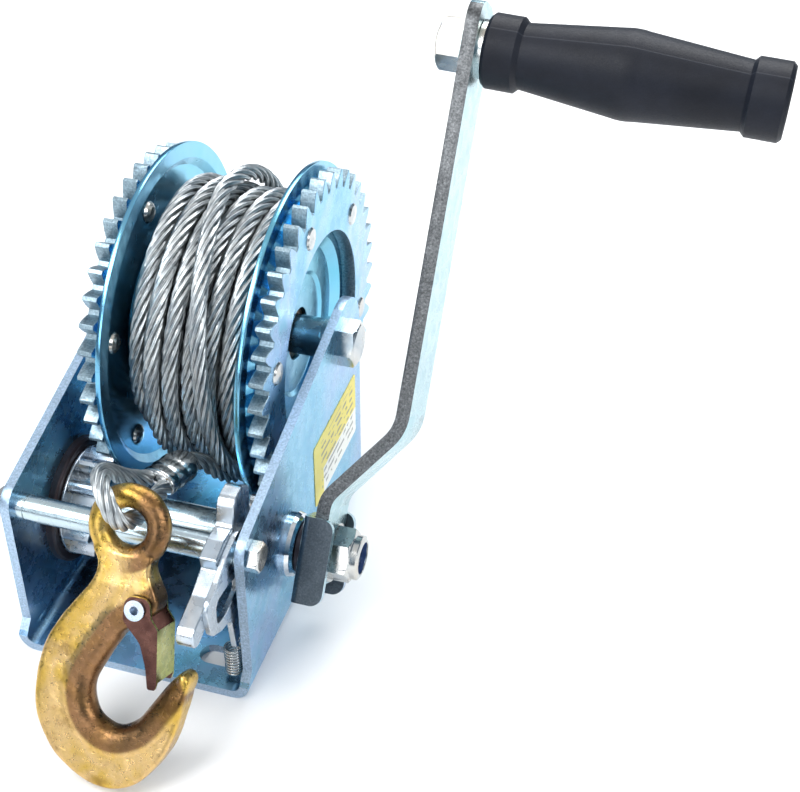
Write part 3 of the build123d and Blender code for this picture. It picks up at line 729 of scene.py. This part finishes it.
def roll_throat(mesh):
    """Rolls the hook's inner edge into a round band that stands a little proud of the flat outer web."""
    spots = np.array([v.co for v in mesh.vertices]) - np.array(EYE)
    flat = np.stack([spots[:, 0], spots @ np.array(HOOK_UP)], axis=1)
    depth = spots @ np.array(HOOK_FRONT)
    curve = through(throat_line) * MM
    tangent = np.gradient(curve, axis=0)
    tangent /= np.linalg.norm(tangent, axis=1)[:, None]
    inward = np.stack([-tangent[:, 1], tangent[:, 0]], axis=1)
    nearest = np.array([np.argmin(((curve - p) ** 2).sum(axis=1)) for p in flat])
    base, normal = curve[nearest], inward[nearest]
    inside = ((flat - base) * normal).sum(axis=1)
    level = np.abs(depth)
    corner = inside - (HALF_HOOK - level)
    turn = np.radians(45 + 45 * np.where(corner > 0, corner / ROLL, corner / HALF_HOOK))
    along = nearest / (len(curve) - 1)
    on_throat = (corner < ROLL) & (np.minimum(inside, HALF_HOOK - level) < 1.8 * MM)
    weight = smooth_step(along / 0.08) * smooth_step((0.86 - along) / 0.10) * on_throat
    new_inside = ROLL * (1 - np.cos(turn))
    new_level = HALF_HOOK * np.sin(turn)
    new_flat = base + normal * new_inside[:, None]
    flat = flat + (new_flat - flat) * weight[:, None]
    level = level + (new_level - level) * weight
    web = smooth_step((inside - 8.5 * MM) / (1.6 * MM)) * smooth_step((-flat[:, 1] - 24 * MM) / (8 * MM))
    level = level * (1 - 0.14 * web)
    depth = np.sign(depth) * level
    placed = np.array(EYE) + flat[:, :1] * np.array([1.0, 0, 0]) + flat[:, 1:] * np.array(HOOK_UP)
    placed += depth[:, None] * np.array(HOOK_FRONT)
    mesh.vertices.foreach_set("co", placed.ravel())
    # Painted reflection: marks the rolled throat band and the eye's inner side, where the hook gets its dark brown
    # painted reflection.
    band = smooth_step((9.5 * MM - inside) / (2 * MM)) * smooth_step((along - 0.01) / 0.03) * (flat[:, 1] < -12 * MM)
    ring = np.hypot(flat[:, 0], flat[:, 1])
    painted_reflection_eye_side = smooth_step((15.2 * MM - ring) / (1 * MM)) * smooth_step((flat[:, 0] + 2 * MM) / (8 * MM))
    painted_reflection_mark = mesh.attributes.new("band", "FLOAT", "POINT")
    painted_reflection_mark.data.foreach_set("value", np.maximum(band, painted_reflection_eye_side).astype(np.float32))


def forge_hook(voxel, passes, lumps):
    """The hook's CAD solid, remeshed, rolled along its throat and relaxed until its edges flow."""
    piece = add_object("hook_body", nodes["hook"].data.copy())
    remesh = piece.modifiers.new("remesh", "REMESH")
    remesh.mode = "VOXEL"
    remesh.voxel_size = voxel
    piece.data = bpy.data.meshes.new_from_object(piece.evaluated_get(bpy.context.evaluated_depsgraph_get()))
    piece.modifiers.clear()
    roll_throat(piece.data)
    relax = piece.modifiers.new("relax", "SMOOTH")
    relax.factor = 0.5
    relax.iterations = passes
    solid = bpy.data.meshes.new_from_object(piece.evaluated_get(bpy.context.evaluated_depsgraph_get()))
    piece.modifiers.clear()
    piece.data = solid
    for vertex in solid.vertices:
        vertex.co += vertex.normal * lumps * (noise.noise(vertex.co * 140) - 0.35)
    solid.polygons.foreach_set("use_smooth", [True] * len(solid.polygons))
    solid.materials.clear()
    solid.materials.append(hook_gold)
    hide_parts("hook")
    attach(piece, "hook")
    return piece


hook_body = forge_hook(0.6 * MM, 8, 0.25 * MM)
make_rope("rope_eye", loop_route, "base", "rope_loop")


# ---- Pawl spring ----
def make_spring():
    low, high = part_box("pawl_spring")
    centre = (low + high) / 2
    wire, coils = 0.45 * MM, 9
    radius = (high.x - low.x) / 2 - wire
    points = []
    per_turn = 20
    for i in range(coils * per_turn + 1):
        a = 2 * math.pi * i / per_turn
        z = low.z + (high.z - low.z) * i / (coils * per_turn)
        points.append((centre.x + radius * math.cos(a), centre.y + radius * math.sin(a), z))
    tail = (39.5 * MM, pawl_axis.y - 5.2 * MM, pawl_axis.z - 37.8 * MM)
    foot = (37.5 * MM, -59.2 * MM, 1.5 * MM)
    points = [foot, (foot[0], foot[1], 3.6 * MM)] + points + [(tail[0], tail[1], tail[2] - 3.0 * MM), tail]
    curve = bpy.data.curves.new("spring_wire", "CURVE")
    curve.dimensions = "3D"
    curve.bevel_depth = wire
    curve.bevel_resolution = 3
    spline = curve.splines.new("POLY")
    spline.points.add(len(points) - 1)
    for point, place in zip(spline.points, points):
        point.co = (*place, 1.0)
    holder = bpy.data.objects.new("spring_curve", curve)
    mesh = bpy.data.meshes.new_from_object(holder)
    bpy.data.objects.remove(holder)
    piece = add_object("spring_wire", mesh)
    piece.data.materials.clear()
    piece.data.materials.append(fastener)
    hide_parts("pawl_spring")
    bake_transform(piece)
    return piece


make_spring()


# ---- Floor, light ----
def make_stage():
    mesh = bpy.data.meshes.new("floor")
    mesh.from_pydata([(-6, -6, 0), (6, -6, 0), (6, 6, 0), (-6, 6, 0)], [], [(0, 1, 2, 3)])
    floor = add_object("floor", mesh, smooth=False)
    finish = Finish("pale_floor", roughness=0.7)
    finish.colour((0.86, 0.86, 0.86))
    floor.data.materials.append(finish.material)
    for name, place, size, power in (
        ("key", (-0.5, -0.7, 1.2), 0.8, 18.0),
        ("front", (-0.35, -1.45, 0.56), 0.5, 3.6),
        ("fill", (1.1, -0.5, 0.9), 0.6, 9.0),
        ("back", (0.1, 1.1, 1.3), 1.0, 22.0),
    ):
        data = bpy.data.lights.new(name, "AREA")
        data.size = size
        data.energy = power
        light = bpy.data.objects.new(name, data)
        bpy.context.scene.collection.objects.link(light)
        light.location = place
        light.rotation_mode = "QUATERNION"
        light.rotation_quaternion = (Vector((0, 0, 0.08)) - Vector(place)).to_track_quat("-Z", "Y")
    world = bpy.data.worlds.new("studio")
    bpy.context.scene.world = world
    world.use_nodes = True
    tree = world.node_tree
    background = tree.nodes["Background"]
    place = tree.nodes.new("ShaderNodeTexCoord")
    split = tree.nodes.new("ShaderNodeSeparateXYZ")
    ramp = tree.nodes.new("ShaderNodeValToRGB")
    tree.links.new(place.outputs["Generated"], split.inputs["Vector"])
    tree.links.new(split.outputs["Z"], ramp.inputs["Fac"])
    stops = ramp.color_ramp.elements
    for position, colour in ((0.18, (0.07, 0.16, 0.26, 1)), (0.5, (0.34, 0.46, 0.58, 1))):
        stops.new(position).color = colour
    stops[0].position, stops[0].color = 0.0, (0.05, 0.07, 0.11, 1)
    stops[-1].position, stops[-1].color = 0.85, (1.0, 1.0, 1.0, 1)
    tree.links.new(ramp.outputs["Color"], background.inputs["Color"])
    background.inputs["Strength"].default_value = 0.8
    bpy.context.scene.view_settings.view_transform = "Standard"


make_stage()
